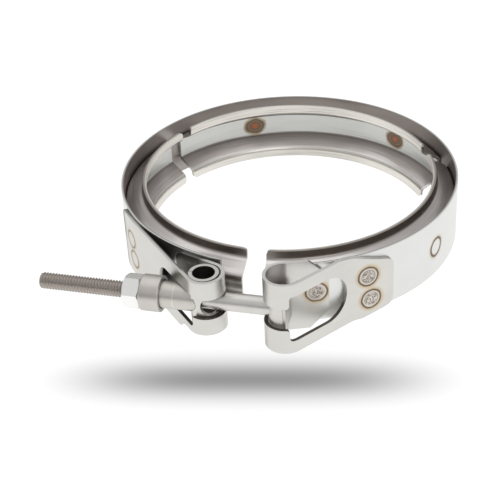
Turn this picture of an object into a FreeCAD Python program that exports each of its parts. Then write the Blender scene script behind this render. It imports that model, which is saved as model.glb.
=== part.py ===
import FreeCAD, Part
import math
import os
import Sketcher
from FreeCAD import Placement, Rotation, Vector

# V-band clamp: a spring band carrying three V-section retainer segments, closed by a
# T-bolt that hooks into one folded loop and is drawn up by a nut against a trunnion in
# the other loop.  Millimetres.  The ring's axis is Z, the gap faces -Y, and the bolt
# lies along X with its threaded end towards -X.

SIZES = {
    # ring
    "band_radius": 60.0,               # outside of the band
    "band_thickness": 0.8,
    "band_width": 22.0,
    "band_left_angle": 98.5,           # each end, measured clockwise from +X
    "band_right_angle": 79.0,
    "seat_gap": 0.05,                  # between sheets that are spot-welded together
    # V-section of the retainers
    "retainer_thickness": 1.2,
    "groove_depth": 6.75,              # radial, from the web to the lips
    "lip_overhang": 0.2,               # how far the lips reach past the band's edges
    "lip_length": 3.16,                # axial, from the flange's line
    "flange_angle": 29.0,              # slope of a flange from the radial plane
    "web_bend_radius": 1.5,            # to the middle of the sheet
    "lip_bend_radius": 1.9,
    "lip_corner_radius": 1.6,
    # retainer segments: middle and span
    "left_middle_angle": 211.7,
    "left_span_angle": 112.2,
    "rear_middle_angle": 91.1,
    "rear_span_angle": 119.0,
    "right_middle_angle": -30.0,
    "right_span_angle": 110.2,
    # T-bolt
    "thread_diameter": 6.0,
    "thread_length": 40.0,
    "thread_chamfer": 0.7,
    "shank_diameter": 6.1,
    "bolt_tip_x": -68.7,
    "head_boss_radius": 4.8,
    "head_boss_height": 6.4,
    "head_arm_radius": 3.9,
    "head_arm_setback": 0.3,           # of the arms from the boss, where they bear on the loop
    "head_back": 1.6,                  # from the boss's centre to the head's flat back
    "head_height": 12.0,
    "head_plate_width": 8.4,
    "head_plate_thickness": 0.9,
    "head_edge_radius": 0.5,
    "head_bearing_gap": 0.3,           # between the head and the loop it hooks into
    # nut, collar and trunnion
    "nut_across_flats": 10.0,
    "nut_thickness": 5.7,
    "nut_turn_angle": 13.0,            # how far the nut stands from flats-level
    "nut_outer_x": -39.35,
    "nut_corner_cut": 0.15,            # where the corner chamfer meets a face, in from a flat
    "nut_corner_angle": 30.0,
    "thread_clearance": 0.05,          # radial, nut on bolt
    "stack_gap": 0.04,                 # axial, between pieces that bear on each other
    "collar_diameter": 12.0,
    "collar_length": 6.85,
    "collar_recess": 2.0,              # depth of the cup that holds the sleeve's end
    "collar_edge_radius": 0.7,
    "collar_mouth_radius": 0.35,
    "bolt_clearance": 0.3,             # radial, sleeve and collar on bolt
    "sleeve_diameter": 9.0,
    "sleeve_cup_clearance": 0.3,       # radial, sleeve in the collar's cup
    "pin_x": -12.48,
    "pin_diameter": 9.8,
    "pin_wall": 1.3,
    "pin_height": 20.4,
    "pin_seam": 0.35,
    "pin_loop_clearance": 0.35,        # radial, pin in its loop
    "pin_rest": 0.28,                  # how far the pin rests off the loop's middle
    "pin_window_reach": 0.35,          # how far the bolt's window passes the pin's middle
    "pin_window_clearance": 0.2,
    # straps
    "strap_thickness": 1.2,
    "loop_lift": 0.85,                 # how far the bolt loop stands off the band
    # loop for the T-head
    "bolt_loop_x": 13.7,
    "head_clearance": 0.8,             # radial, T-head in its loop
    "bolt_loop_width": 26.0,
    "bolt_loop_inner_angle": 65.1,     # angles on the band, clockwise from +X
    "bolt_loop_bend_angle": 57.5,
    "bolt_loop_bend_radius": 8.0,
    "bolt_loop_outer_angle": 43.4,
    "bolt_loop_end_top": 7.0,          # the outer leg's end, above the mid-plane
    "bolt_loop_end_bottom": 10.5,      # and below it
    "bolt_loop_taper_top": 14.5,       # length of each taper, along X
    "bolt_loop_taper_bottom": 8.4,
    "bolt_loop_corner_top": 3.0,
    "bolt_loop_corner_bottom": 3.0,
    "inner_leg_chamfer": 6.4,
    "shank_slot_clearance": 1.05,
    "window_clearance": 2.5,           # axial, T-head through the window
    "window_start_angle": 64.0,        # angle on the loop
    "window_length": 20.4,             # straight part
    "slot_corner": 1.2,
    # loop for the trunnion
    "pin_loop_top": 10.2,
    "pin_loop_bottom": 12.6,
    "pin_loop_wrap": 9.8,              # lower edge where the strap turns round the pin
    "pin_loop_slope": 4.5,             # length of the run between the two, along X
    "pin_loop_inner_angle": 114.2,
    "pin_loop_outer_angle": 146.8,
    "pin_loop_corner": 2.0,
    "inner_leg_corner": 3.0,
    "sleeve_slot_top": 5.0,
    "sleeve_slot_bottom": 7.4,
    "sleeve_slot_end": 18.0,           # from where the leg leaves the band
    "sleeve_slot_angle": 120.0,        # where the slot narrows, angle on the loop
    "sleeve_slot_corner": 1.2,
    "pin_slot_clearance": 0.6,
}

doc = FreeCAD.newDocument("VBandClamp")
spec = doc.addObject("Spreadsheet::Sheet", "Spec")


def put(row, name, value):
    """One line of the sheet: the name, and a plain number with that name as alias."""
    spec.set("A%d" % row, name)
    spec.set("B%d" % row, "%.6f" % value)
    spec.setAlias("B%d" % row, name)


for row, (name, value) in enumerate(SIZES.items(), 1):
    put(row, name, value)
S = type("Sizes", (), SIZES)

# ---- sizes that follow from others -------------------------------------------------
STRAP_SEAT = S.band_radius + S.seat_gap
HEAD_LOOP = S.head_boss_radius + S.head_clearance
HEAD_X = S.bolt_loop_x - S.head_clearance + S.head_bearing_gap
PIN_LOOP = S.pin_diameter / 2 + S.pin_loop_clearance
PIN_LOOP_X = S.pin_x + S.pin_rest


def line_for(x, loop_radius):
    """Distance of the bolt's line from the ring's axis for a loop at x to clear the band."""
    away = STRAP_SEAT + loop_radius + S.strap_thickness + S.loop_lift
    return math.sqrt(away ** 2 - x ** 2)


BOLT_LINE = max(line_for(S.bolt_loop_x, HEAD_LOOP), line_for(PIN_LOOP_X, PIN_LOOP))
NUT_INNER_X = S.nut_outer_x + S.nut_thickness
COLLAR_X = NUT_INNER_X + S.stack_gap
COLLAR_END_X = COLLAR_X + S.collar_length
SLEEVE_X = COLLAR_END_X - S.collar_recess + S.stack_gap
SLEEVE_BORE = max(S.thread_diameter, S.shank_diameter) / 2 + S.bolt_clearance
SHANK_SLOT = S.shank_diameter / 2 + S.shank_slot_clearance
WINDOW = S.head_height / 2 + S.window_clearance
SLEEVE_SLOT = (S.sleeve_slot_top + S.sleeve_slot_bottom) / 2
PIN_SLOT = S.shank_diameter / 2 + S.pin_slot_clearance
WEB_RADIUS = S.band_radius - S.band_thickness - S.seat_gap
for row, (name, value) in enumerate({
    "bolt_line": BOLT_LINE,
    "collar_x": COLLAR_X,
    "sleeve_x": SLEEVE_X,
    "sleeve_bore": SLEEVE_BORE,
    "shank_slot": 2 * SHANK_SLOT,
    "window_height": 2 * WINDOW,
    "pin_slot": 2 * PIN_SLOT,
}.items(), len(SIZES) + 2):
    put(row, name, value)
doc.recompute()


# ---- helpers -----------------------------------------------------------------------
def polar(radius, degrees, centre=(0.0, 0.0)):
    a = math.radians(degrees)
    return (centre[0] + radius * math.cos(a), centre[1] + radius * math.sin(a))


def dot(p, q):
    return p[0] * q[0] + p[1] * q[1]


def new_body(name):
    body = doc.addObject("PartDesign::Body", name)
    body.Label = name
    return body


def origin_item(body, role):
    return next(f for f in body.Origin.OriginFeatures if f.Role == role)


def new_sketch(body, role, name):
    sketch = body.newObject("Sketcher::SketchObject", name)
    sketch.AttachmentSupport = [(origin_item(body, role), "")]
    sketch.MapMode = "FlatFace"
    doc.recompute()
    return sketch


def draw(sketch, pieces):
    """Adds lines (p, q) and arcs (centre, radius, from, to), and joins ends that meet."""
    ends = []
    for piece in pieces:
        if len(piece) == 2:
            p, q = (Vector(c[0], c[1], 0) for c in piece)
            shape = Part.LineSegment(p, q)
        else:
            (cx, cy), radius, start, stop = piece
            circle = Part.Circle(Vector(cx, cy, 0), Vector(0, 0, 1), radius)
            shape = Part.ArcOfCircle(circle, math.radians(start), math.radians(stop))
        index = sketch.addGeometry(shape, False)
        for place in (1, 2):
            point = sketch.getPoint(index, place)
            for other, spot, seen in ends:
                if (point - seen).Length < 1e-5:
                    sketch.addConstraint(Sketcher.Constraint("Coincident", index, place, other, spot))
            ends.append((index, place, point))
    return sketch


def polygon(points):
    return [(points[i - 1], points[i]) for i in range(len(points))]


def bound_circle(sketch, diameter, x=0.0, y=0.0):
    """A circle whose diameter follows an expression and whose centre is fixed by x and y."""
    index = sketch.addGeometry(Part.Circle(Vector(x, y, 0), Vector(0, 0, 1), 1.0), False)
    size = sketch.addConstraint(Sketcher.Constraint("Diameter", index, 2.0))
    sketch.setExpression("Constraints[%d]" % size, diameter)
    if x or y:
        for kind, value in (("DistanceX", x), ("DistanceY", y)):
            sketch.addConstraint(Sketcher.Constraint(kind, -1, 1, index, 3, value))
    else:
        sketch.addConstraint(Sketcher.Constraint("Coincident", -1, 1, index, 3))
    return index


def feature(body, kind, name, sketch, **values):
    item = body.newObject("PartDesign::" + kind, name)
    item.Profile = sketch
    for key, value in values.items():
        if isinstance(value, str):
            item.setExpression(key, value)
        else:
            setattr(item, key, value)
    sketch.Visibility = False
    doc.recompute()
    return item


def volume_of(body):
    return body.Shape.Volume


def pocket(body, name, sketch, **values):
    """A pocket that must remove something: the direction is turned round if it doesn't."""
    before = volume_of(body)
    item = feature(body, "Pocket", name, sketch, **values)
    if before - volume_of(body) < 1e-3:
        item.Reversed = not item.Reversed
        doc.recompute()
    if before - volume_of(body) < 1e-3:
        raise RuntimeError(name + " removes nothing")
    return item


def edges_at(body, points, reach=0.2):
    """Names of the edges that pass nearest to each point."""
    shape = body.Tip.Shape
    names = []
    for point in points:
        spot = Part.Vertex(Vector(*point))
        gaps = [(edge.distToShape(spot)[0], n) for n, edge in enumerate(shape.Edges, 1)]
        gap, n = min(gaps)
        if gap > reach:
            raise RuntimeError("no edge of %s near %s" % (body.Label, point))
        names.append("Edge%d" % n)
    return sorted(set(names))


def dress(body, kind, name, points, size, **values):
    """A fillet or chamfer on the edges through the given points."""
    base = body.Tip
    names = edges_at(body, points)
    item = body.newObject("PartDesign::" + kind, name)
    item.Base = (base, names)
    field = "Radius" if kind == "Fillet" else "Size"
    if isinstance(size, str):
        item.setExpression(field, size)
    else:
        setattr(item, field, size)
    for key, value in values.items():
        setattr(item, key, value)
    doc.recompute()
    return item


def rounded_strip(points, radii, thickness):
    """Closed outline of a sheet's section: a polyline with bends, thickened both ways."""
    sides = {+1: [], -1: []}
    half = thickness / 2
    pts = [Vector(p[0], p[1], 0) for p in points]
    start = pts[0]
    for i in range(1, len(pts)):
        along = (pts[i] - pts[i - 1]).normalize()
        left = Vector(-along.y, along.x, 0)
        if i == len(pts) - 1:
            stop, bend = pts[i], None
        else:
            ahead = (pts[i + 1] - pts[i]).normalize()
            turn = math.atan2(along.x * ahead.y - along.y * ahead.x, along.dot(ahead))
            cut = radii[i - 1] * math.tan(abs(turn) / 2)
            stop = pts[i] - along * cut
            side = 1 if turn > 0 else -1
            centre = stop + left * (side * radii[i - 1])
            bend = (centre, side, turn, pts[i] + ahead * cut)
        for s in sides:
            p, q = start + left * (s * half), stop + left * (s * half)
            sides[s].append(((p.x, p.y), (q.x, q.y)))
            if bend:
                centre, side, turn, _ = bend
                a0 = math.degrees(math.atan2(stop.y - centre.y, stop.x - centre.x))
                a1 = a0 + math.degrees(turn)
                low, high = min(a0, a1), max(a0, a1)
                radius = radii[i - 1] - side * s * half
                sides[s].append(((centre.x, centre.y), radius, low, high))
        start = bend[3] if bend else stop
    first = (sides[+1][0][0], sides[-1][0][0])
    last = (sides[+1][-1][1], sides[-1][-1][1])
    return sides[+1] + sides[-1] + [first, last]


# ---- ring --------------------------------------------------------------------------
def ring_segment(name, pieces, middle, span):
    """A section in the XZ plane, revolved about Z by span, centred on the angle middle."""
    body = new_body(name)
    section = draw(new_sketch(body, "XZ_Plane", name + "_section"), pieces)
    feature(body, "Revolution", name + "_sweep", section, Angle=span, Midplane=True,
            ReferenceAxis=(origin_item(body, "Z_Axis"), [""]))
    body.Placement = Placement(Vector(), Rotation(Vector(0, 0, 1), 1.0))
    body.setExpression(".Placement.Rotation.Angle", middle)
    doc.recompute()
    return body


half_band = S.band_width / 2
inner = S.band_radius - S.band_thickness
band = ring_segment(
    "outer_band",
    polygon([(inner, -half_band), (S.band_radius, -half_band), (S.band_radius, half_band), (inner, half_band)]),
    "(360 - Spec.band_left_angle - Spec.band_right_angle) / 2",
    "360 - Spec.band_left_angle + Spec.band_right_angle",
)

web = WEB_RADIUS - S.retainer_thickness / 2
lip = web - S.groove_depth
reach = half_band + S.lip_overhang
knee = reach - S.lip_length
heel = knee - S.groove_depth * math.tan(math.radians(S.flange_angle))
V_SECTION = rounded_strip(
    [(lip, -reach), (lip, -knee), (web, -heel), (web, heel), (lip, knee), (lip, reach)],
    [S.lip_bend_radius, S.web_bend_radius, S.web_bend_radius, S.lip_bend_radius],
    S.retainer_thickness,
)
for side in ("left", "rear", "right"):
    segment = ring_segment("retainer_" + side, V_SECTION, "Spec.%s_middle_angle" % side, "Spec.%s_span_angle" % side)
    turn = getattr(S, side + "_span_angle") / 2
    corners = [(*polar(lip, a), z) for a in (-turn, turn) for z in (-reach, reach)]
    dress(segment, "Fillet", "retainer_%s_corners" % side, corners, "Spec.lip_corner_radius")


# ---- folded straps -----------------------------------------------------------------
class Strap:
    """Plan of a folded strap: inner leg on the band, round the pin, outer leg to the band.

    Worked out for a loop at positive x; side -1 mirrors it to negative x."""

    def __init__(self, x, inside, inner_end, outer_end, bend, side):
        t = S.strap_thickness
        self.side, self.inside, self.outside = side, inside, inside + t
        self.centre = c = (abs(x), -BOLT_LINE)
        away, lean = math.hypot(*c), math.degrees(math.atan2(c[1], c[0]))
        # inner leg: a line that touches the band and the outside of the loop
        self.leave = lean + math.degrees(math.acos((STRAP_SEAT + self.outside) / away))
        # outer leg: tangent to the loop's inside, down to the band, with a bend or tangent to it
        if bend is None:
            self.land = lean + math.degrees(math.acos((STRAP_SEAT - inside) / away))
            self.normal = self.land
        else:
            self.land = -bend
            foot = polar(STRAP_SEAT, self.land)
            reach = math.hypot(foot[0] - c[0], foot[1] - c[1])
            look = math.degrees(math.atan2(foot[1] - c[1], foot[0] - c[0]))
            self.normal = look + math.degrees(math.asin(inside / reach)) - 90
        self.start = polar(self.outside, self.normal, c)
        self.along = polar(1.0, self.normal + 90)
        inner_start = polar(inside, self.normal, c)
        if bend is None:
            turn = []
            land = self.land
            foot, outer_foot = polar(STRAP_SEAT, land), polar(STRAP_SEAT + t, land)
        else:
            # the bend is tangent to the leg's line and to the circle of the welded part
            bend_radius = S.bolt_loop_bend_radius
            line = dot(self.start, polar(1.0, self.normal))
            away = STRAP_SEAT + t + bend_radius
            land = self.normal - math.degrees(math.acos((line + bend_radius) / away))
            hub = polar(away, land)
            foot = polar(bend_radius + t, self.normal + 180, hub)
            outer_foot = polar(bend_radius, self.normal + 180, hub)
            turn = [(hub, r, land + 180, self.normal + 180) for r in (bend_radius, bend_radius + t)]
        self.length = dot(outer_foot, self.along) - dot(self.start, self.along)
        zero, mid = (0.0, 0.0), STRAP_SEAT + t
        end_in, end_out = -inner_end, -outer_end
        self.pieces = turn + [
            (zero, STRAP_SEAT, self.leave, end_in),
            (polar(STRAP_SEAT, self.leave), polar(self.outside, self.leave + 180, c)),
            (c, self.outside, self.leave + 180, self.normal + 360),
            (self.start, outer_foot),
            (zero, mid, land, end_out),
            (polar(mid, end_out), polar(STRAP_SEAT, end_out)),
            (zero, STRAP_SEAT, land, end_out),
            (foot, inner_start),
            (c, inside, self.leave + 180, self.normal + 360),
            (polar(inside, self.leave + 180, c), polar(mid, self.leave)),
            (zero, mid, self.leave, end_in),
            (polar(mid, end_in), polar(STRAP_SEAT, end_in)),
        ]

    def place(self, pieces):
        """Mirrors pieces of a drawing to the strap's own side."""
        if self.side > 0:
            return pieces
        out = []
        for piece in pieces:
            if len(piece) == 2:
                out.append(tuple((-p[0], p[1]) for p in piece))
            else:
                (cx, cy), radius, start, stop = piece
                out.append(((-cx, cy), radius, 180 - stop, 180 - start))
        return out

    def spot(self, x, y, z):
        return (self.side * x, y, z)

    def on_leg(self, run, z):
        """A point in the middle of the outer leg's sheet, run along it from the loop."""
        t = S.strap_thickness / 2
        n = polar(t, self.normal)
        return self.spot(self.start[0] + run * self.along[0] - n[0], self.start[1] + run * self.along[1] - n[1], z)

    def on_loop(self, angle, z):
        p = polar((self.inside + self.outside) / 2, angle, self.centre)
        return self.spot(*p, z)

    def on_band(self, angle, z):
        return self.spot(*polar(STRAP_SEAT + S.strap_thickness / 2, angle), z)

    def cut_plan(self, from_angle, to_angle, run):
        """Plan of a cut that follows the loop from one angle to another and, if run is
        given, on along the leg."""
        low, high = S.strap_thickness, self.outside + S.strap_thickness
        rim = (self.centre, high, from_angle, to_angle)
        core = (self.centre, low, from_angle, to_angle)
        sides = [(polar(low, from_angle, self.centre), polar(high, from_angle, self.centre))]
        if run is None:
            sides.append((polar(low, to_angle, self.centre), polar(high, to_angle, self.centre)))
            return self.place([rim, core] + sides)
        # on along the leg, between two lines parallel to it
        n, a = polar(1.0, self.normal), self.along
        deep = 2 * S.strap_thickness
        inner = (self.start[0] - n[0] * deep, self.start[1] - n[1] * deep)
        outer = polar(high, self.normal, self.centre)
        far_in = (inner[0] + a[0] * run, inner[1] + a[1] * run)
        far_out = (outer[0] + a[0] * run, outer[1] + a[1] * run)
        sides += [(outer, far_out), (far_out, far_in), (far_in, inner), (inner, polar(low, to_angle, self.centre))]
        return self.place([rim, core] + sides)


def fold(name, strap, width):
    body = new_body(name)
    plan = draw(new_sketch(body, "XY_Plane", name + "_plan"), strap.place(strap.pieces))
    feature(body, "Pad", name + "_strip", plan, Length=width, Midplane=True)
    return body


def cut_through(body, name, pieces, height, level=0.0):
    """Cuts a plan through the strap over a height whose middle is at the given level."""
    plan = draw(new_sketch(body, "XY_Plane", name + "_plan"), pieces)
    plan.AttachmentOffset = Placement(Vector(0, 0, level), Rotation())
    return pocket(body, name, plan, Length=height, Midplane=True)


def trim_sides(body, name, outlines):
    """Trims the strap's edges in side view, right through along Y."""
    view = new_sketch(body, "XZ_Plane", name + "_view")
    for pieces in outlines:
        draw(view, pieces)
    return pocket(body, name, view, Length=4 * S.band_radius, Midplane=True)


def round_end(body, name, diameter, x, reach):
    """Rounds the end of a loop's slot with a bore on the bolt's line, from the plane at x."""
    view = new_sketch(body, "YZ_Plane", name + "_view")
    view.AttachmentOffset = Placement(Vector(0, 0, x), Rotation())
    bound_circle(view, diameter, -BOLT_LINE, 0.0)
    item = feature(body, "Pocket", name, view, Length=abs(reach), Reversed=reach > 0)
    return item


# loop that the T-head hooks into
PAST = 5.0           # how far a trimming outline runs past the strap
LEFT_FLAT = 0.1      # what two corner rounds leave of a slot's end between them
hook = Strap(S.bolt_loop_x, HEAD_LOOP, S.bolt_loop_inner_angle, S.bolt_loop_outer_angle, S.bolt_loop_bend_angle, +1)
bolt_loop = fold("bolt_loop", hook, "Spec.bolt_loop_width")
half = S.bolt_loop_width / 2
end_x = hook.on_band(-S.bolt_loop_outer_angle, 0)[0]


def taper(side, length, height):
    """What is cut off one edge: from full width, a length short of the end, to its height there."""
    start, stop, high = end_x - length, end_x + PAST, half + PAST
    low = height - PAST * (half - height) / length
    return polygon([(start, side * half), (stop, side * low), (stop, side * high), (start, side * high)])


trim_sides(bolt_loop, "bolt_loop_taper", [
    taper(1, S.bolt_loop_taper_top, S.bolt_loop_end_top),
    taper(-1, S.bolt_loop_taper_bottom, S.bolt_loop_end_bottom),
])
dress(bolt_loop, "Fillet", "bolt_loop_corner",
      [hook.on_band(-S.bolt_loop_outer_angle, S.bolt_loop_end_top)], "Spec.bolt_loop_corner_top")
dress(bolt_loop, "Fillet", "bolt_loop_lower_corner",
      [hook.on_band(-S.bolt_loop_outer_angle, -S.bolt_loop_end_bottom)], "Spec.bolt_loop_corner_bottom")
dress(bolt_loop, "Chamfer", "inner_leg_corners",
      [hook.on_band(-S.bolt_loop_inner_angle, z) for z in (-half, half)], "Spec.inner_leg_chamfer")
cut_through(bolt_loop, "shank_slot", hook.cut_plan(180, 360 - S.window_start_angle, None), "Spec.shank_slot")
round_end(bolt_loop, "slot_end", "Spec.shank_slot", S.bolt_loop_x, -2 * HEAD_LOOP)
cut_through(bolt_loop, "head_window",
            hook.cut_plan(360 - S.window_start_angle, 360 + hook.normal, S.window_length), "Spec.window_height")
dress(bolt_loop, "Fillet", "window_end",
      [hook.on_leg(S.window_length, z) for z in (-WINDOW, WINDOW)], WINDOW - LEFT_FLAT)
dress(bolt_loop, "Fillet", "slot_corners",
      [hook.on_loop(360 - S.window_start_angle, z) for z in (-WINDOW, -SHANK_SLOT, SHANK_SLOT, WINDOW)],
      "Spec.slot_corner")

# loop that holds the trunnion: its lower edge swoops up where the strap turns round the pin
hold = Strap(PIN_LOOP_X, PIN_LOOP, 180 - S.pin_loop_inner_angle, 180 - S.pin_loop_outer_angle, None, -1)
deep = max(S.pin_loop_top, S.pin_loop_bottom, S.pin_loop_wrap)
trunnion_loop = fold("trunnion_loop", hold, 2 * deep)
over, far = deep + PAST, S.band_radius + PAST
wrap_x = PIN_LOOP_X - PIN_LOOP - S.strap_thickness
foot_x = wrap_x - S.pin_loop_slope
rise = S.pin_loop_bottom - S.pin_loop_wrap
swoop = (S.pin_loop_slope ** 2 + rise ** 2) / (4 * rise)
sweep = math.degrees(math.asin(S.pin_loop_slope / 2 / swoop))
trim_sides(trunnion_loop, "trunnion_loop_edges", [
    polygon([(-far, S.pin_loop_top), (far, S.pin_loop_top), (far, over), (-far, over)]),
    [
        ((-far, -S.pin_loop_bottom), (foot_x, -S.pin_loop_bottom)),
        ((foot_x, swoop - S.pin_loop_bottom), swoop, 270, 270 + sweep),
        ((wrap_x, -S.pin_loop_wrap - swoop), swoop, 90, 90 + sweep),
        ((wrap_x, -S.pin_loop_wrap), (far, -S.pin_loop_wrap)),
        ((far, -S.pin_loop_wrap), (far, -over)),
        ((far, -over), (-far, -over)),
        ((-far, -over), (-far, -S.pin_loop_bottom)),
    ],
])
narrow = S.sleeve_slot_angle + 180
cut_through(trunnion_loop, "bolt_slot", hold.cut_plan(180, narrow, None), "Spec.pin_slot")
round_end(trunnion_loop, "bolt_slot_end", "Spec.pin_slot", PIN_LOOP_X, 2 * PIN_LOOP)
slot_run = hold.length - S.sleeve_slot_end
cut_through(trunnion_loop, "sleeve_slot_cut", hold.cut_plan(narrow, 360 + hold.normal, slot_run),
            "Spec.sleeve_slot_top + Spec.sleeve_slot_bottom", (S.sleeve_slot_top - S.sleeve_slot_bottom) / 2)
dress(trunnion_loop, "Fillet", "sleeve_slot_round",
      [hold.on_leg(slot_run, z) for z in (-S.sleeve_slot_bottom, S.sleeve_slot_top)], SLEEVE_SLOT - LEFT_FLAT)
dress(trunnion_loop, "Fillet", "sleeve_slot_corner",
      [hold.on_loop(narrow, -S.sleeve_slot_bottom)], "Spec.sleeve_slot_corner")
dress(trunnion_loop, "Fillet", "trunnion_loop_corners",
      [hold.on_band(S.pin_loop_outer_angle - 180, S.pin_loop_top),
       hold.on_band(S.pin_loop_outer_angle - 180, -S.pin_loop_bottom)], "Spec.pin_loop_corner")
dress(trunnion_loop, "Fillet", "inner_leg_end",
      [hold.on_band(S.pin_loop_inner_angle - 180, S.pin_loop_top)], "Spec.inner_leg_corner")

# ---- trunnion ----------------------------------------------------------------------
trunnion_pin = new_body("trunnion_pin")
outside, bore = S.pin_diameter / 2, S.pin_diameter / 2 - S.pin_wall
centre = (S.pin_x, -BOLT_LINE)
gap = math.degrees(S.pin_seam / 2 / outside)
plan = new_sketch(trunnion_pin, "XY_Plane", "pin_plan")
draw(plan, [
    (centre, outside, -180 + gap, 180 - gap),
    (centre, bore, -180 + gap, 180 - gap),
    (polar(outside, 180 - gap, centre), polar(bore, 180 - gap, centre)),
    (polar(outside, -180 + gap, centre), polar(bore, -180 + gap, centre)),
])
feature(trunnion_pin, "Pad", "rolled_wall", plan, Length="Spec.pin_height", Midplane=True)
# the bolt leaves through a window that reaches past the middle of the pin
window = S.shank_diameter / 2 + S.pin_window_clearance
near = S.pin_x - S.pin_window_reach + window
view = new_sketch(trunnion_pin, "XZ_Plane", "window_view")
draw(view, [
    ((near, 0.0), window, 90, 270),
    ((near, window), (near + 2 * outside, window)),
    ((near + 2 * outside, window), (near + 2 * outside, -window)),
    ((near + 2 * outside, -window), (near, -window)),
])
pocket(trunnion_pin, "bolt_window", view, Length=4 * BOLT_LINE, Midplane=True)
# and comes in through a round hole
view = new_sketch(trunnion_pin, "YZ_Plane", "hole_view")
bound_circle(view, "2 * Spec.sleeve_bore", -BOLT_LINE, 0.0)
pocket(trunnion_pin, "bolt_hole", view, Length=-S.pin_x + 2 * outside, Reversed=False)

sleeve = new_body("trunnion_sleeve")
view = new_sketch(sleeve, "YZ_Plane", "sleeve_view")
bound_circle(view, "Spec.sleeve_diameter", -BOLT_LINE, 0.0)
bound_circle(view, "2 * Spec.sleeve_bore", -BOLT_LINE, 0.0)
feature(sleeve, "Pad", "sleeve_tube", view, Length="-Spec.sleeve_x", Reversed=True)
plan = new_sketch(sleeve, "XY_Plane", "saddle_plan")
saddle = outside + S.seat_gap
block = 3 * outside
draw(plan, [
    (centre, saddle, 90, 270),
    ((S.pin_x, centre[1] + saddle), (S.pin_x, centre[1] + block)),
    ((S.pin_x, centre[1] + block), (block, centre[1] + block)),
    ((block, centre[1] + block), (block, centre[1] - block)),
    ((block, centre[1] - block), (S.pin_x, centre[1] - block)),
    ((S.pin_x, centre[1] - block), (S.pin_x, centre[1] - saddle)),
])
pocket(sleeve, "saddle", plan, Length=4 * S.sleeve_diameter, Midplane=True)


# ---- turned pieces on the bolt's line ------------------------------------------------
def turned(name, outline):
    """Revolves an outline of (x, radius) points about the bolt's line."""
    body = new_body(name)
    view = new_sketch(body, "XY_Plane", name + "_outline")
    draw(view, polygon([(x, r - BOLT_LINE) for x, r in outline]))
    axis = view.addGeometry(Part.LineSegment(Vector(-10, -BOLT_LINE, 0), Vector(10, -BOLT_LINE, 0)), True)
    view.addConstraint(Sketcher.Constraint("Horizontal", axis))
    feature(body, "Revolution", name + "_turning", view, Angle=360.0, ReferenceAxis=(view, ["Axis0"]))
    return body


r_bolt, r_cup = SLEEVE_BORE, S.sleeve_diameter / 2 + S.sleeve_cup_clearance
r_out = S.collar_diameter / 2
collar = turned("collar", [
    (COLLAR_X, r_bolt), (COLLAR_X, r_out), (COLLAR_END_X, r_out), (COLLAR_END_X, r_cup),
    (COLLAR_END_X - S.collar_recess, r_cup), (COLLAR_END_X - S.collar_recess, r_bolt),
])
dress(collar, "Fillet", "collar_edges", [(COLLAR_X, -BOLT_LINE - r_out, 0)], "Spec.collar_edge_radius")
dress(collar, "Fillet", "collar_mouth", [(COLLAR_END_X, -BOLT_LINE - r_out, 0)], "Spec.collar_mouth_radius")

# T-bolt: the shank ends in a half-round boss, across a half-round bar with a flat plate behind it
t_bolt = new_body("t_bolt")
r_thread, r_shank = S.thread_diameter / 2, S.shank_diameter / 2
bearing_x, back_x = HEAD_X - S.head_boss_radius, HEAD_X + S.head_back
arm_x = bearing_x + S.head_arm_setback + S.head_arm_radius
plate_x = back_x - S.head_plate_thickness
arm_high, arm_low = (S.head_arm_radius - BOLT_LINE), (-S.head_arm_radius - BOLT_LINE)
plan = draw(new_sketch(t_bolt, "XY_Plane", "head_arm_plan"), [
    ((arm_x, -BOLT_LINE), S.head_arm_radius, 90, 270),
    ((arm_x, arm_high), (back_x, arm_high)),
    ((back_x, arm_high), (back_x, arm_low)),
    ((back_x, arm_low), (arm_x, arm_low)),
])
feature(t_bolt, "Pad", "head_arms", plan, Length="Spec.head_height", Midplane=True)
dress(t_bolt, "Fillet", "head_edges",
      [(arm_x - S.head_arm_radius, -BOLT_LINE, z) for z in (-S.head_height / 2, S.head_height / 2)],
      "Spec.head_edge_radius")
half_plate = S.head_plate_width / 2
plan = draw(new_sketch(t_bolt, "XY_Plane", "head_plate_plan"), polygon([
    (plate_x, half_plate - BOLT_LINE), (back_x, half_plate - BOLT_LINE),
    (back_x, -half_plate - BOLT_LINE), (plate_x, -half_plate - BOLT_LINE),
]))
feature(t_bolt, "Pad", "head_plate", plan, Length="Spec.head_height", Midplane=True)
boss = (HEAD_X, -BOLT_LINE)
half_flat = math.degrees(math.acos((plate_x - HEAD_X) / S.head_boss_radius))
plan = draw(new_sketch(t_bolt, "XY_Plane", "head_boss_plan"), [
    (boss, S.head_boss_radius, half_flat, 360 - half_flat),
    (polar(S.head_boss_radius, half_flat, boss), polar(S.head_boss_radius, -half_flat, boss)),
])
feature(t_bolt, "Pad", "head_boss", plan, Length="Spec.head_boss_height", Midplane=True)
thread_end = S.bolt_tip_x + S.thread_length
run_out = 2 * abs(r_thread - r_shank) + S.thread_chamfer / 2
view = new_sketch(t_bolt, "XY_Plane", "shank_outline")
draw(view, polygon([(x, r - BOLT_LINE) for x, r in (
    (S.bolt_tip_x, 0.0),
    (S.bolt_tip_x, r_thread - S.thread_chamfer),
    (S.bolt_tip_x + S.thread_chamfer, r_thread),
    (thread_end, r_thread),
    (thread_end + run_out, r_shank),
    (HEAD_X, r_shank),
    (HEAD_X, 0.0),
)]))
axis = view.addGeometry(Part.LineSegment(Vector(-10, -BOLT_LINE, 0), Vector(10, -BOLT_LINE, 0)), True)
feature(t_bolt, "Revolution", "shank", view, Angle=360.0, ReferenceAxis=(view, ["Axis0"]))

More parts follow.
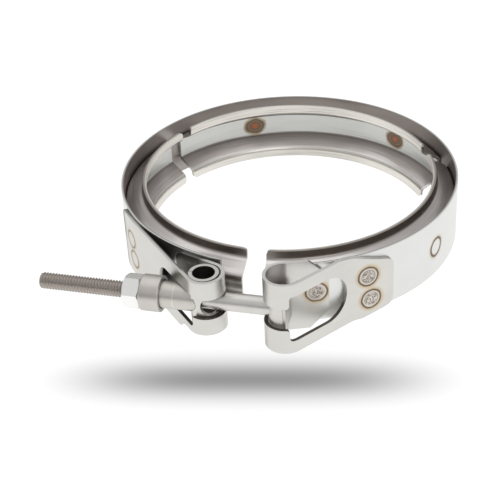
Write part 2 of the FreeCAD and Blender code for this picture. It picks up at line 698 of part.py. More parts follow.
# hexagon nut, its corners taken off at both ends
nut = new_body("hex_nut")
view = new_sketch(nut, "YZ_Plane", "nut_view")
across = S.nut_across_flats / math.sqrt(3)
draw(view, polygon([polar(across, 30 + S.nut_turn_angle + 60 * i, (-BOLT_LINE, 0.0)) for i in range(6)]))
feature(nut, "Pad", "nut_blank", view, Length="-Spec.nut_outer_x", Reversed=True)
view = new_sketch(nut, "YZ_Plane", "nut_trim_view")
bound_circle(view, "3 * Spec.nut_across_flats", -BOLT_LINE, 0.0)
pocket(nut, "nut_inner_face", view, Length=-NUT_INNER_X, Reversed=True)
view = new_sketch(nut, "YZ_Plane", "nut_bore_view")
bound_circle(view, "Spec.thread_diameter + 2 * Spec.thread_clearance", -BOLT_LINE, 0.0)
pocket(nut, "nut_bore", view, Length=-2 * S.nut_outer_x, Reversed=False)
view = new_sketch(nut, "XY_Plane", "corner_view")
flat, tip = S.nut_across_flats / 2 - S.nut_corner_cut, across + S.nut_corner_cut
rise = (tip - flat) * math.tan(math.radians(S.nut_corner_angle))
for face, inwards in ((S.nut_outer_x, 1), (NUT_INNER_X, -1)):
    draw(view, polygon([(face, flat - BOLT_LINE), (face + inwards * rise, tip - BOLT_LINE),
                        (face - inwards, tip - BOLT_LINE), (face - inwards, flat - BOLT_LINE)]))
view.addGeometry(Part.LineSegment(Vector(-10, -BOLT_LINE, 0), Vector(10, -BOLT_LINE, 0)), True)
feature(nut, "Groove", "nut_corners", view, Angle=360.0, ReferenceAxis=(view, ["Axis0"]))

# ---- export ------------------------------------------------------------------------
doc.recompute()
os.makedirs("parts", exist_ok=True)
for item in doc.Objects:
    if {"Invalid", "Error"} & set(item.State):
        raise RuntimeError("%s: %s" % (item.Name, item.State))
for body in doc.Objects:
    if body.TypeId != "PartDesign::Body":
        continue
    if body.Shape.isNull() or not body.Shape.isValid():
        raise RuntimeError(body.Label + " has no sound shape")
    body.Shape.exportStep("parts/%s.step" % body.Label)
    print("%-16s solids %d volume %9.1f" % (body.Label, len(body.Shape.Solids), body.Shape.Volume))
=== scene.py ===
# %% [markdown]
# # A V-band clamp, dressed in steel
#
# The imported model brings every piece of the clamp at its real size: the band, three
# V-shaped retainers, two folded loops, the trunnion with its sleeve and collar, the
# T-bolt and the nut.  This file adds what a machine shop would see on them: the fine
# lines of rolled sheet, the coloured rings of spot welds, the bolt's rolled thread and
# a soft studio round it all.  Blender's lengths are metres.  Sizes here are easier to
# read in mm, so each is multiplied by MM once, where it goes into a mesh.

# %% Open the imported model
import math

import bmesh
import bpy
import numpy as np
from mathutils import Matrix, Vector


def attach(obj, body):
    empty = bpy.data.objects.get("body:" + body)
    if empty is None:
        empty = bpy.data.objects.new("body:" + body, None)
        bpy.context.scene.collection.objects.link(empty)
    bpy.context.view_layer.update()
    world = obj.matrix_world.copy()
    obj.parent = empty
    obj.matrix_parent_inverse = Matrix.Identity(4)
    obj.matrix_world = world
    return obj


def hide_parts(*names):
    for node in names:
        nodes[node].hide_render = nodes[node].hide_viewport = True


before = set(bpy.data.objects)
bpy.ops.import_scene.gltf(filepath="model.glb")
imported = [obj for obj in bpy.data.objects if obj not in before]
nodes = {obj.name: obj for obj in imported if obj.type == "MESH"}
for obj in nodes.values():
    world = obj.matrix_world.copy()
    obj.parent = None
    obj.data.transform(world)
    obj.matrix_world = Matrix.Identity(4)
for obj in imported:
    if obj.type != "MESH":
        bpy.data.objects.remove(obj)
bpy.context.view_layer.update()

MM = 0.001
BOLT_LINE_Y = -66.3
print("pieces of the frame:", ", ".join(sorted(nodes)))

# %% [markdown]
# The camera stands a little to the right of the gap and looks down on the ring, so
# the hook is near and the rear retainer shows its inside.  It is described by the
# direction from the ring to the camera, a small roll, and the width of the lens.

# %% Camera
CAMERA_DISTANCE = 450 * MM
CAMERA_AZIMUTH = math.radians(14.1)
CAMERA_ELEVATION = math.radians(31.07)
CAMERA_ROLL = math.radians(-1.905)
CAMERA_LENS, CAMERA_SENSOR = 89.3, 36.0
CAMERA_SHIFT = (-0.0806, -0.1056)


def place_camera():
    """Turns a camera so that it looks at the ring's centre from the azimuth and
    elevation, then rolls it about its own line of sight."""
    back = Vector((math.sin(CAMERA_AZIMUTH) * math.cos(CAMERA_ELEVATION),
                   -math.cos(CAMERA_AZIMUTH) * math.cos(CAMERA_ELEVATION),
                   math.sin(CAMERA_ELEVATION)))
    right = Vector((math.cos(CAMERA_AZIMUTH), math.sin(CAMERA_AZIMUTH), 0.0))
    up = back.cross(right)
    level = right * math.cos(CAMERA_ROLL) + up * math.sin(CAMERA_ROLL)
    upright = up * math.cos(CAMERA_ROLL) - right * math.sin(CAMERA_ROLL)
    camera = bpy.data.objects.new("camera", bpy.data.cameras.new("camera"))
    turn = Matrix((level, upright, back)).transposed().to_4x4()
    camera.matrix_world = Matrix.Translation(back * CAMERA_DISTANCE) @ turn
    camera.data.lens = CAMERA_LENS
    camera.data.sensor_width = CAMERA_SENSOR
    camera.data.shift_x, camera.data.shift_y = CAMERA_SHIFT
    camera.data.clip_start = 0.01
    bpy.context.scene.collection.objects.link(camera)
    bpy.context.scene.camera = camera
    return camera


camera = place_camera()
print("camera at", [round(c, 3) for c in camera.location])

# %% [markdown]
# Blender draws materials with nodes.  Sums on values that change over a surface are
# easier to read as Python, so a small class wraps a node's output and gives it the
# usual signs: writing a + b adds a Math node that does the adding.

# %% Nodes written as sums
class Field:
    """A number that changes over a surface."""

    def __init__(self, finish, socket):
        self.finish = finish
        self.socket = socket

    def math(self, operation, *others):
        values = {i: v for i, v in enumerate((self,) + others)}
        made = self.finish.node("Math", {"operation": operation}, values)
        return Field(self.finish, made.outputs[0])

    def flipped(self, operation, other):
        made = self.finish.node("Math", {"operation": operation}, {0: other, 1: self})
        return Field(self.finish, made.outputs[0])

    def __add__(self, other):
        return self.math("ADD", other)

    __radd__ = __add__

    def __mul__(self, other):
        return self.math("MULTIPLY", other)

    __rmul__ = __mul__

    def __sub__(self, other):
        return self.math("SUBTRACT", other)

    def __rsub__(self, other):
        return self.flipped("SUBTRACT", other)

    def __pow__(self, other):
        return self.math("POWER", other)

    def root(self):
        return self.math("SQRT")

    def high(self, other):
        return self.math("MAXIMUM", other)

    def size(self):
        return self.math("ABSOLUTE")

    def fall(self):
        """e to the power of minus this value."""
        return self.flipped("POWER", math.exp(-1.0))

    def step(self, start, stop):
        """0 before start, 1 after stop, and a smooth rise between them; it falls
        instead where start is the larger."""
        lo, hi, a, b = (start, stop, 0.0, 1.0) if start < stop else (stop, start, 1.0, 0.0)
        made = self.finish.node("MapRange", {"interpolation_type": "SMOOTHSTEP"},
                                {0: self, 1: lo, 2: hi, 3: a, 4: b})
        return Field(self.finish, made.outputs[0])


print("sums that add a node: + - * ** and root, high, size, fall, step")

# %% [markdown]
# The second class is the material that is being made.  One method adds any other
# node: its settings first, then the values or links of its inputs.  The place on the
# piece comes in Object coordinates, which stay put when the piece moves, and is kept
# in mm.  Every piece of this clamp is bare metal, so one method closes them all.

# %% A material in the making
class Finish:
    """A material in the making."""

    def __init__(self, name):
        self.material = bpy.data.materials.new(name)
        self.material.use_nodes = True
        self.tree = self.material.node_tree
        self.tree.nodes.clear()
        place = self.node("TexCoord")
        self.place = place.outputs["Object"]
        split = self.node("SeparateXYZ", {}, {0: self.place})
        self.x, self.y, self.z = (Field(self, s) * (1.0 / MM) for s in split.outputs)

    def node(self, kind, settings=None, values=None):
        """Adds one node: settings are its own properties, values are its inputs."""
        made = self.tree.nodes.new("ShaderNode" + kind)
        for key, value in (settings or {}).items():
            setattr(made, key, value)
        for key, value in (values or {}).items():
            socket = made.inputs[key]
            if isinstance(value, Field):
                self.tree.links.new(value.socket, socket)
            elif isinstance(value, bpy.types.NodeSocket):
                self.tree.links.new(value, socket)
            else:
                socket.default_value = value
        return made

    def from_line(self, x=0.0, y=0.0):
        """Distance in mm from an upright line: the root of the squares' sum."""
        dx, dy = self.x - x, self.y - y
        return (dx * dx + dy * dy).root()

    def noise(self, stretch, detail=2.0, rough=0.5, swirl=0.0):
        """Noise in object space with a frequency, in cycles per metre, for each axis."""
        mapped = self.node("Mapping", {}, {"Vector": self.place, "Scale": stretch})
        made = self.node("TexNoise", {"normalize": True}, {
            "Vector": mapped.outputs[0], "Scale": 1.0, "Detail": detail,
            "Roughness": rough, "Distortion": swirl})
        return Field(self, made.outputs["Fac"])

    def mix(self, factor, first, second):
        """The first colour, going over to the second as factor goes from 0 to 1."""
        def full(c):
            return (*c, 1.0) if isinstance(c, tuple) else c
        made = self.node("Mix", {"data_type": "RGBA"},
                         {"Factor": factor, 6: full(first), 7: full(second)})
        return made.outputs[2]

    def metal(self, colour, roughness, height, lift=0.02 * MM, edge=0.12 * MM):
        """Closes the material as bare metal.  Height is a relief in units of lift, and
        edge rounds sharp corners in the shading alone."""
        corner = self.node("Bevel", {"samples": 6}, {"Radius": edge})
        bump = self.node("Bump", {}, {
            "Strength": 1.0, "Distance": lift, "Height": height, "Normal": corner.outputs[0]})
        shader = self.node("BsdfPrincipled", {}, {
            "Base Color": colour, "Roughness": roughness, "Metallic": 1.0,
            "Normal": bump.outputs[0]})
        self.node("OutputMaterial", {}, {"Surface": shader.outputs[0]})
        return self.material


def wear(node, material):
    """Gives a CAD node its finish."""
    slots = nodes[node].data.materials
    slots.clear()
    slots.append(material)
    print(node, "wears", material.name, "of", len(material.node_tree.nodes), "nodes")


# %% [markdown]
# Rolled stainless strip has very fine lines along its length and a slow unevenness
# that makes reflections wander.  Both are noise, stretched along the strip: on the
# band, the retainers and the loops the strip lies in level planes, so the lines are
# close together in Z and long in X and Y.

# %% Rolled sheet
LINES_PER_METRE = 6500.0


def rolled(finish):
    """Fine lines, and slow clouds, each about 0 to 1."""
    lines = finish.noise((60.0, 60.0, LINES_PER_METRE), detail=3.0, rough=0.6)
    clouds = finish.noise((55.0, 55.0, 120.0), detail=3.0)
    return lines, clouds


print("lines across the strip, per mm:", LINES_PER_METRE * MM)

# %% [markdown]
# A spot weld leaves marks in rings.  The electrode presses a shallow disc whose face
# is scored by its tip; round that the steel was hottest in air and turned brown, and
# outside the brown there is a straw-coloured halo.  Each ring is a pair of smooth
# steps over the distance from the weld's centre, made a little uneven by noise.  On
# the far side of a sheet the same heat leaves a soft brown spot with a red middle.

# %% Spot welds
HEAT = {
    "straw": (0.56, 0.41, 0.19),
    "brown": (0.115, 0.075, 0.055),
    "disc": (0.66, 0.63, 0.60),
    "score": (0.17, 0.145, 0.125),
    "back": (0.125, 0.095, 0.075),
    "rim": (0.34, 0.235, 0.12),
    "red": (0.36, 0.12, 0.055),
}
SHEET_REACH, FAR_AWAY = (2.5, 3.5), 60.0


def on_ring(angle, radius, z):
    """Centre of a weld on the ring, in mm, and the direction of the strip there: the
    cosine and sine of the angle, and the same turned by a quarter."""
    a = math.radians(angle)
    return (radius * math.cos(a), radius * math.sin(a), z), (-math.sin(a), math.cos(a))


def weld_distance(finish, centre, along, wobble=0.5, squash=1.0):
    """Distance in mm from a weld's centre, measured in the sheet: along the strip by
    the direction given, and in Z, where squash makes the spot flatter.  Faces that
    lie off the sheet are sent far away."""
    (cx, cy, cz), (ax, ay) = centre, along
    run = (finish.x - cx) * ax + (finish.y - cy) * ay
    rise = (finish.z - cz) * squash
    off = (finish.x - cx) * ay - (finish.y - cy) * ax
    far = off.size().step(*SHEET_REACH) * FAR_AWAY
    uneven = (finish.noise((420.0, 420.0, 420.0)) - 0.5) * wobble
    return (run * run + rise * rise).root() + uneven + far


def weld_front(finish, colour, distance, size):
    """The electrode's side of a weld: halo, scored disc, inner ring and brown ring.
    Gives the colour, and the marks that are pressed into the sheet."""
    def ring(low, high, soft=0.25):
        return distance.step(low - soft, low + soft) * distance.step(high + soft, high - soft)

    toned = finish.mix(distance.step(size + 1.5, size - 0.1) * 0.7, colour, HEAT["straw"])
    toned = finish.mix(distance.step(size, size - 0.5) * 0.8, toned, HEAT["disc"])
    swirls = finish.noise((520.0, 520.0, 520.0), detail=1.0, swirl=3.0)
    scores = (swirls - 0.5).size().step(0.07, 0.02) * distance.step(size - 1.3, size - 1.8)
    toned = finish.mix(scores, toned, HEAT["score"])
    broken = finish.noise((260.0, 260.0, 260.0)).step(0.36, 0.50)
    inner = ring(size - 1.5, size - 1.25, 0.16) * broken
    toned = finish.mix(inner * 0.85, toned, HEAT["score"])
    toned = finish.mix(ring(size - 0.6, size, 0.3), toned, HEAT["brown"])
    return toned, scores + ring(size - 1.0, size)


def weld_ring(finish, colour, distance, size, width, strength):
    """A plain brown ring with a faint halo."""
    halo = distance.step(size + 1.4, size) * distance.step(size - 1.6, size - 0.6)
    toned = finish.mix(halo * (strength * 0.5), colour, HEAT["straw"])
    hole = size - width
    ring = distance.step(size + 0.25, size - 0.2) * distance.step(hole - 0.3, hole + 0.1)
    return finish.mix(ring * strength, toned, HEAT["brown"])


def weld_back(finish, colour, distance, size=4.3):
    """The far side of a weld: a brown rim, a dark spot with a paler ring in it, and
    a red middle."""
    toned = finish.mix(distance.step(size + 0.8, size) * 0.75, colour, HEAT["rim"])
    toned = finish.mix(distance.step(size, size - 0.8) * 0.95, toned, HEAT["back"])
    toned = finish.mix((distance - 2.7).size().step(0.5, 0.1) * 0.35, toned, HEAT["rim"])
    return finish.mix(distance.step(2.3, 0.2) * 0.9, toned, HEAT["red"])


print("weld colours:", ", ".join(HEAT))

# %% [markdown]
# The band is the brightest piece: smooth strip with the faintest lines, and a brown
# ring for each weld that holds a retainer inside it: two for the rear one, and one
# for each of the others.  Its inner face is painted darker, a painted shade.

# %% Band
BAND_RADIUS = 60.0
BAND_WELDS = ((-21.5, -0.4), (58.2, 0.4), (117.3, -0.1), (192.0, 0.2))


def band_finish():
    finish = Finish("band_steel")
    lines, clouds = rolled(finish)
    colour = finish.mix(clouds, (0.70, 0.71, 0.69), (0.78, 0.78, 0.765))
    for angle, z in BAND_WELDS:
        spot = weld_distance(finish, *on_ring(angle, BAND_RADIUS, z), wobble=0.4)
        colour = weld_ring(finish, colour, spot, 3.75, 0.8, 0.95)
    # painted shade: the band's inner face is darker
    shaded_inner_face = finish.from_line().step(59.7, 59.4)
    colour = finish.mix(shaded_inner_face, colour, (0.36, 0.33, 0.31))
    colour = finish.mix(lines.step(0.62, 0.78) * 0.35, colour, (0.45, 0.44, 0.43))
    rough = 0.22 + lines * 0.12 + clouds * 0.08
    return finish.metal(colour, rough, lines + clouds * 6.0)


wear("outer_band", band_finish())

# %% [markdown]
# A retainer is roll-formed: its web stays pale, and the flanges are painted a faint pink
# sheen that sweeps from dark to light along the ring, a painted reflection.  The lips
# are beige inside and painted dark on their backs, a painted shade.  A painted dark line
# marks each knee, painted shade darkens the lower flange inside, and the web's outer
# face is painted dark brown, a painted shade, where it shows at the gap.  Dark streaks
# run along the ring, stronger on the flanges.  The tints follow the section, so they
# are steps over the radius and Z.

# %% Retainers
KNEE_HEIGHT = 4.1
WEB_RADIUS = 57.9


def retainer_finish():
    finish = Finish("retainer_steel")
    lines, clouds = rolled(finish)
    radius = finish.from_line()
    height = finish.z.size()
    web = finish.mix(clouds, (0.56, 0.57, 0.54), (0.66, 0.665, 0.635))
    # painted reflection: the flanges are lighter and pinker than the web, and sweep from dark to
    # light along the ring
    reflection_sweep = finish.noise((26.0, 26.0, 160.0), detail=2.0).step(0.36, 0.62)
    flange_sheen = finish.mix(reflection_sweep, (0.50, 0.47, 0.455), (0.86, 0.83, 0.815))
    back = finish.mix(clouds, (0.28, 0.25, 0.225), (0.42, 0.385, 0.36))
    colour = finish.mix(height.step(3.9, 4.9), web, flange_sheen)
    inner = radius.step(58.8, 58.4)
    # painted shade: a dark line along each knee, on the inner side
    knee_shade = (height - KNEE_HEIGHT).size().step(0.55, 0.1) * inner
    colour = finish.mix(knee_shade * 0.75, colour, (0.20, 0.18, 0.165))
    shade = finish.z.step(-6.9, -4.9) * finish.z.step(-3.6, -4.2) * inner
    colour = finish.mix(shade * 0.65, colour, (0.24, 0.215, 0.20))
    lip_face = radius.step(52.2, 51.9) * height.step(6.6, 7.4)
    colour = finish.mix(lip_face * 0.8, colour, (0.76, 0.735, 0.67))
    # painted shade: the backs of the lips are dark
    shaded_lip_back = radius.step(51.5, 51.9) * radius.step(53.4, 52.6) * height.step(7.4, 8.2)
    colour = finish.mix(shaded_lip_back, colour, back)
    streaks = finish.noise((35.0, 35.0, 2400.0), detail=3.0, rough=0.7)
    # dark streaks along the ring, stronger on the flanges and lips
    on_flanges = height.step(4.4, 5.2) * radius.step(58.4, 57.8)
    streaks = streaks.step(0.50, 0.72) * (0.35 + on_flanges * 0.3)
    colour = finish.mix(streaks, colour, (0.34, 0.31, 0.30))
    # painted shade: the web's outer face, where it shows at the gap under the bolt, is dark brown
    # in streaks
    web_shade = radius.step(58.6, 58.95) * finish.noise((40.0, 40.0, 900.0)).step(0.30, 0.62)
    colour = finish.mix(web_shade * 0.9, colour, (0.14, 0.105, 0.09))
    for angle, z in BAND_WELDS:
        spot = weld_distance(finish, *on_ring(angle, WEB_RADIUS, z), wobble=1.3, squash=1.22)
        colour = weld_back(finish, colour, spot)
    rough = 0.20 + lines * 0.14 + clouds * 0.10
    return finish.metal(colour, rough, lines + clouds * 7.0)


RETAINER_STEEL = retainer_finish()
for side in ("left", "rear", "right"):
    wear("retainer_" + side, RETAINER_STEEL)

# %% [markdown]
# The loops are folded from thicker strip, a little warmer and duller.  The bolt loop
# carries three welds on its outer faces, two on the long leg and one on the short
# leg behind it, and the trunnion loop two paler ones.  Painted shade darkens the
# trunnion loop where its two legs face each other and the inside of the turn round
# the head, and the punched edges that face up under the bolt's line are painted dark,
# a painted shade too.

# %% Loops
LOOP_WELDS = ((-52.45, 3.0, 3.75), (-51.45, -6.1, 3.75), (-69.0, 0.9, 3.8))
PALE_WELDS = ((-139.7, 1.6), (-138.5, -5.9))
LOOP_WELD_RADIUS = 61.25
PIN_LOOP_X, HEAD_LOOP_X = -12.2, 13.7
INNER_LEG_NORMAL = math.radians(224.0)


def strap_finish():
    finish = Finish("strap_steel")
    lines, clouds = rolled(finish)
    colour = finish.mix(clouds, (0.60, 0.59, 0.56), (0.73, 0.715, 0.68))
    colour = finish.mix(lines.step(0.60, 0.80) * 0.35, colour, (0.42, 0.40, 0.37))
    relief = lines + clouds * 8.0
    # painted shade, dark to grey, where the two legs of the trunnion loop face each other
    deep = finish.x * math.cos(INNER_LEG_NORMAL) + finish.y * math.sin(INNER_LEG_NORMAL)
    past = finish.from_line(PIN_LOOP_X, BOLT_LINE_Y)
    between_legs_shade = deep.step(60.7, 60.3) * past.step(6.5, 8.5) * finish.x.step(-2.0, -4.0)
    shade_grey = finish.mix(clouds.step(0.45, 0.62), (0.10, 0.09, 0.085), (0.42, 0.41, 0.39))
    colour = finish.mix(between_legs_shade * 0.85, colour, shade_grey)
    # and painted shade inside the turn that holds the head
    bend = finish.from_line(HEAD_LOOP_X, BOLT_LINE_Y)
    colour = finish.mix(bend.step(5.9, 5.65) * 0.75, colour, (0.25, 0.225, 0.22))
    for angle, z, size in LOOP_WELDS:
        spot = weld_distance(finish, *on_ring(angle, LOOP_WELD_RADIUS, z))
        colour, marks = weld_front(finish, colour, spot, size)
        relief = relief - marks * 3.0
    for angle, z in PALE_WELDS:
        spot = weld_distance(finish, *on_ring(angle, LOOP_WELD_RADIUS, z))
        colour = weld_ring(finish, colour, spot, 3.4, 0.5, 0.8)
    # painted shade: the punched edges that face up, under the bolt's line, are dark
    facing = finish.node("SeparateXYZ", {}, {0: finish.node("TexCoord").outputs["Normal"]})
    edge_shade = Field(finish, facing.outputs[2]).step(0.3, 0.6) * finish.z.step(-1.0, -2.0)
    colour = finish.mix(edge_shade * 0.9, colour, (0.085, 0.068, 0.055))
    rough = 0.26 + lines * 0.12 + clouds * 0.10
    return finish.metal(colour, rough, relief)


STRAP_STEEL = strap_finish()
for node in ("trunnion_loop", "bolt_loop"):
    wear(node, STRAP_STEEL)

# %% [markdown]
# The pin is a piece of the same strip, rolled into a tube.  Little light gets into
# it, so its bore is painted nearly black, a painted shade.

# %% Pin
PIN_X = -12.48


def pin_finish():
    """The pin's strip, and a step over the distance from its middle for the bore."""
    finish = Finish("pin_steel")
    clouds = finish.noise((160.0, 160.0, 160.0), detail=3.0)
    colour = finish.mix(clouds, (0.60, 0.585, 0.55), (0.74, 0.725, 0.69))
    # painted shade: the bore is nearly black
    bore_shade = finish.from_line(PIN_X, BOLT_LINE_Y).step(3.75, 3.62)
    colour = finish.mix(bore_shade, colour, (0.055, 0.048, 0.042))
    return finish.metal(colour, 0.28 + clouds * 0.1 + bore_shade * 0.3, clouds)


wear("trunnion_pin", pin_finish())

# %% [markdown]
# The collar, the sleeve and the nut are turned on a lathe, so their lines run round
# the bolt.  The nut is plated and nearly white.  The sleeve has a faint score where
# its neck begins.

# %% Turned pieces
SCORE_X = -22.3


def turned_finish(name, dark, light, rough, score=None):
    """Fine rings round the bolt's line, as left by a lathe, and a score at one X."""
    finish = Finish(name)
    rings = finish.noise((6500.0, 90.0, 90.0), detail=3.0)
    clouds = finish.noise((160.0, 160.0, 160.0), detail=3.0)
    colour = finish.mix(clouds, dark, light)
    if score is not None:
        mark = (finish.x - score).size().step(0.25, 0.05)
        colour = finish.mix(mark * 0.6, colour, (0.85, 0.83, 0.80))
    return finish.metal(colour, rough + rings * 0.12, rings + clouds * 4.0)


for node, *tones in (
        ("trunnion_sleeve", "sleeve_steel", (0.56, 0.54, 0.50), (0.70, 0.68, 0.64), 0.34, SCORE_X),
        ("collar", "collar_steel", (0.54, 0.51, 0.48), (0.68, 0.65, 0.615), 0.32),
        ("hex_nut", "nut_plated", (0.88, 0.88, 0.87), (0.95, 0.95, 0.94), 0.32)):
    wear(node, turned_finish(*tones))

# %% [markdown]
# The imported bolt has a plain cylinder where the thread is.  A rolled thread is a
# surface of two parameters: the angle round the bolt and the distance along it.  Its
# radius falls from the crest to the root and back once in every pitch, and the whole
# pattern moves on by one pitch as the angle goes round once.

# %% Thread as a surface
THREAD_TIP, THREAD_END, SEW_AT = -68.7, -28.7, -28.0
CREST, THREAD_DEPTH, PITCH, CHAMFER = 3.0, 0.6, 1.0, 0.7
FLANK, FLAT = 2.6, 0.65
ROUND = 48
PER_PITCH = 14


def thread_radius(along, turn):
    """Crest less the depth of a V: the distance from the middle of the pitch, times
    FLANK, less FLAT, held between 0 and 1.  The depth fades over a pitch and a half
    before the shank, and the crest is chamfered at the tip."""
    place = (along / PITCH - turn / (2 * np.pi)) % 1.0
    vee = np.clip(np.abs(place - 0.5) * FLANK - FLAT, 0.0, 1.0)
    fade = np.clip((THREAD_END - along) / (1.5 * PITCH), 0.0, 1.0)
    radius = CREST - THREAD_DEPTH * fade * (1.0 - vee)
    return np.minimum(radius, CREST - CHAMFER + (along - THREAD_TIP))


def threaded_surface(end_radius):
    """A grid of rings along the bolt, each of ROUND points, then its faces.  A point
    is the distance along, and the radius times the angle's cosine and sine."""
    count = int((SEW_AT - THREAD_TIP) * PER_PITCH)
    along, turn = np.meshgrid(np.linspace(THREAD_TIP, SEW_AT, count),
                              np.arange(ROUND) * 2 * np.pi / ROUND, indexing="ij")
    radius = thread_radius(along, turn)
    grow = np.clip((along - THREAD_END) / (SEW_AT - THREAD_END), 0.0, 1.0)
    radius = radius + grow * (end_radius - CREST)
    points = np.stack([along, BOLT_LINE_Y + radius * np.cos(turn), radius * np.sin(turn)],
                      axis=-1)
    step, ring = np.meshgrid(np.arange(count - 1), np.arange(ROUND), indexing="ij")
    first, second = step * ROUND + ring, step * ROUND + (ring + 1) % ROUND
    faces = np.stack([first, first + ROUND, second + ROUND, second], axis=-1)
    return points.reshape(-1, 3) * MM, faces.reshape(-1, 4)


print("points along one pitch:", PER_PITCH, "and round the bolt:", ROUND)

# %% [markdown]
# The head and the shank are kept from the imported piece.  The bolt is cut where the
# shank begins, and the open rim is bridged to the last ring of the thread, so the
# new piece is one closed skin.  It rides on the bolt's body and takes its place.

# %% Bolt sewn to its thread
SHARP_ANGLE = math.radians(40)


def threaded_bolt():
    """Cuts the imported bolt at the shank, keeps the head's side and sews the thread on."""
    shape = bmesh.new()
    shape.from_mesh(nodes["t_bolt"].data)
    bmesh.ops.transform(shape, matrix=nodes["t_bolt"].matrix_world, verts=shape.verts)
    bmesh.ops.remove_doubles(shape, verts=shape.verts, dist=1e-6)
    everything = shape.verts[:] + shape.edges[:] + shape.faces[:]
    bmesh.ops.bisect_plane(shape, geom=everything, plane_co=(SEW_AT * MM, 0, 0),
                           plane_no=(-1, 0, 0), clear_outer=True)
    rim = [e for e in shape.edges if e.is_boundary]
    end_radius = max(abs(v.co.z) for e in rim for v in e.verts) / MM
    points, faces = threaded_surface(end_radius)
    made = [shape.verts.new(p) for p in points.tolist()]
    for corners in faces.tolist():
        shape.faces.new([made[i] for i in corners])
    last = [shape.edges.get((made[-ROUND + i], made[-ROUND + (i + 1) % ROUND]))
            for i in range(ROUND)]
    bmesh.ops.bridge_loops(shape, edges=rim + last)
    shape.faces.new(made[:ROUND])
    bmesh.ops.recalc_face_normals(shape, faces=shape.faces)
    mesh = bpy.data.meshes.new("threaded_bolt")
    shape.to_mesh(mesh)
    print("open edges of the bolt:", sum(e.is_boundary for e in shape.edges))
    shape.free()
    mesh.attributes.remove(mesh.attributes["custom_normal"])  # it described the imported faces
    mesh.shade_smooth()
    mesh.set_sharp_from_angle(angle=SHARP_ANGLE)
    piece = bpy.data.objects.new("threaded_bolt", mesh)
    bpy.context.scene.collection.objects.link(piece)
    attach(piece, "t_bolt")
    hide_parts("t_bolt")
    return piece


bolt = threaded_bolt()
print("faces of the bolt:", len(bolt.data.polygons))

# %% [markdown]
# The bolt is drawn wire, with fine lines along it.  Its thread is a shade darker, and
# painted darkest at the bottom of the V, a painted shade.  The distance from the
# bolt's line tells how deep a point of the thread lies.

# %% Bolt's steel
def bolt_finish():
    """Lines along X, and two steps: over X for the thread, over depth for its bottom."""
    finish = Finish("bolt_steel")
    drawn = finish.noise((70.0, 4200.0, 4200.0), detail=3.0)
    clouds = finish.noise((160.0, 160.0, 160.0), detail=3.0)
    colour = finish.mix(clouds, (0.60, 0.58, 0.55), (0.74, 0.72, 0.69))
    off = finish.y - BOLT_LINE_Y
    depth = (off * off + finish.z * finish.z).root().step(CREST - 0.05, CREST - THREAD_DEPTH)
    thread = finish.x.step(THREAD_END + 1.0, THREAD_END - 0.5)
    colour = finish.mix(thread * 0.8, colour, (0.66, 0.62, 0.58))
    # painted shade at the bottom of the thread's V
    colour = finish.mix(thread * depth * 0.75, colour, (0.27, 0.225, 0.195))
    return finish.metal(colour, 0.30 + drawn * 0.12, drawn + clouds * 3.0)


bolt.data.materials.append(bolt_finish())
print(bolt.name, "wears", bolt.data.materials[0].name)

# %% [markdown]
# The clamp floats over a white floor, as in a shop's catalogue, with a soft flat
# shadow below it.  The floor glows for the camera and for reflections alone, so it
# stays white, and the metal shows it, while the lamps stay low.

# %% Floor
FLOOR_LEVEL = -66.0
SHADOW_MIDDLE = (-11.5, -25.5)
SHADOW_TURN = math.radians(11.1)
SHADOW_LENGTH, SHADOW_DEPTH = 63.0, 11.4
SHADOW_DARKNESS = 0.70
FLOOR_TONE, FLOOR_GLOW = 0.30, 0.86
FLOOR_SIDE = 30.0


def floor_finish():
    """White, less a soft bar of shadow: the glow is multiplied by one minus a fall
    that is flat along the bar and bell-shaped across it."""
    finish = Finish("floor")
    dx, dy = finish.x - SHADOW_MIDDLE[0], finish.y - SHADOW_MIDDLE[1]
    c, s = math.cos(SHADOW_TURN), math.sin(SHADOW_TURN)
    run = (dx * (c / SHADOW_LENGTH) + dy * (s / SHADOW_LENGTH)).size()
    across = dy * (c / SHADOW_DEPTH) - dx * (s / SHADOW_DEPTH)
    shadow = (run ** 3.5).fall() * (across * across).fall() * SHADOW_DARKNESS
    light = 1.0 - shadow
    seen = finish.node("LightPath")
    direct, mirrored, through = (
        Field(finish, seen.outputs["Is " + kind + " Ray"])
        for kind in ("Camera", "Glossy", "Transmission"))
    glow = direct.high(mirrored).high(through) * light
    tone, beam = (finish.node("CombineColor", {}, {0: value, 1: value, 2: value})
                  for value in (light * FLOOR_TONE, glow * FLOOR_GLOW))
    shader = finish.node("BsdfPrincipled", {}, {
        "Base Color": tone.outputs[0], "Roughness": 0.9, "Specular IOR Level": 0.0,
        "Emission Color": beam.outputs[0], "Emission Strength": 1.0})
    finish.node("OutputMaterial", {}, {"Surface": shader.outputs[0]})
    return finish.material


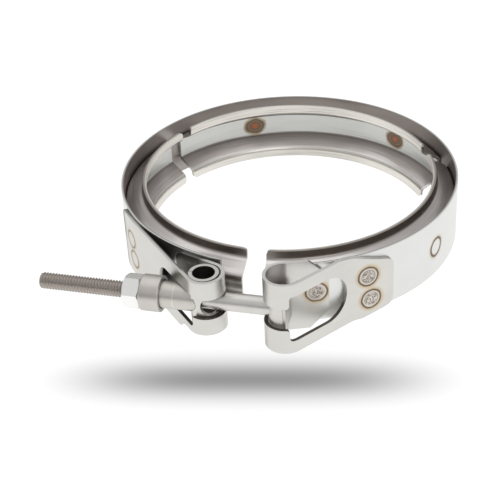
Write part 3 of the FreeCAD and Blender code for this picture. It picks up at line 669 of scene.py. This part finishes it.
def floor():
    """A square that reaches far enough to pass for endless."""
    mesh = bpy.data.meshes.new("floor")
    corners = [(x * FLOOR_SIDE, y * FLOOR_SIDE, FLOOR_LEVEL * MM)
               for x, y in ((-1, -1), (1, -1), (1, 1), (-1, 1))]
    mesh.from_pydata(corners, [], [(0, 1, 2, 3)])
    mesh.materials.append(floor_finish())
    piece = bpy.data.objects.new("floor", mesh)
    bpy.context.scene.collection.objects.link(piece)
    return piece


studio_floor = floor()
print("floor at", round(studio_floor.data.vertices[0].co.z / MM, 2), "mm")

# %% [markdown]
# Bare metal shows what stands round it, so the studio's air is dark at the height of
# the horizon and grows brighter overhead: that draws the dark line along each round
# piece.  A wide lamp overhead and a small one in front add a soft sheen.

# %% Light
SKY = ((0.0, 0.12), (0.14, 0.22), (0.42, 0.66), (1.0, 0.70))
LAMPS = (("overhead", (-0.15, 0.25, 0.9), (1.3, 1.0), 1.5),
         ("front", (0.5, -0.8, 0.7), (0.6, 0.6), 1.2))


def lamp(name, place, size, power):
    """A rectangular lamp, in metres, turned towards the ring's centre."""
    data = bpy.data.lights.new(name, "AREA")
    data.shape = "RECTANGLE"
    data.size, data.size_y = size
    data.energy = power
    made = bpy.data.objects.new(name, data)
    made.location = place
    made.rotation_euler = (-Vector(place)).to_track_quat("-Z", "Y").to_euler()
    bpy.context.scene.collection.objects.link(made)
    return made


def studio_world(stops):
    """Light that depends on height alone: a ramp over the upward part of the direction."""
    world = bpy.data.worlds.new("studio")
    bpy.context.scene.world = world
    world.use_nodes = True
    tree = world.node_tree
    place = tree.nodes.new("ShaderNodeTexCoord")
    split = tree.nodes.new("ShaderNodeSeparateXYZ")
    ramp = tree.nodes.new("ShaderNodeValToRGB")
    ramp.color_ramp.interpolation = "EASE"
    while len(ramp.color_ramp.elements) < len(stops):
        ramp.color_ramp.elements.new(0.5)
    for element, (height, tone) in zip(ramp.color_ramp.elements, stops):
        element.position = height
        element.color = (tone, tone, tone, 1.0)
    tree.links.new(place.outputs["Generated"], split.inputs[0])
    tree.links.new(split.outputs["Z"], ramp.inputs[0])
    tree.links.new(ramp.outputs[0], tree.nodes["Background"].inputs["Color"])
    tree.nodes["Background"].inputs["Strength"].default_value = 1.0
    return world


studio_world(SKY)
for values in LAMPS:
    print("lamp", lamp(*values).name)
bpy.context.scene.view_settings.view_transform = "Standard"
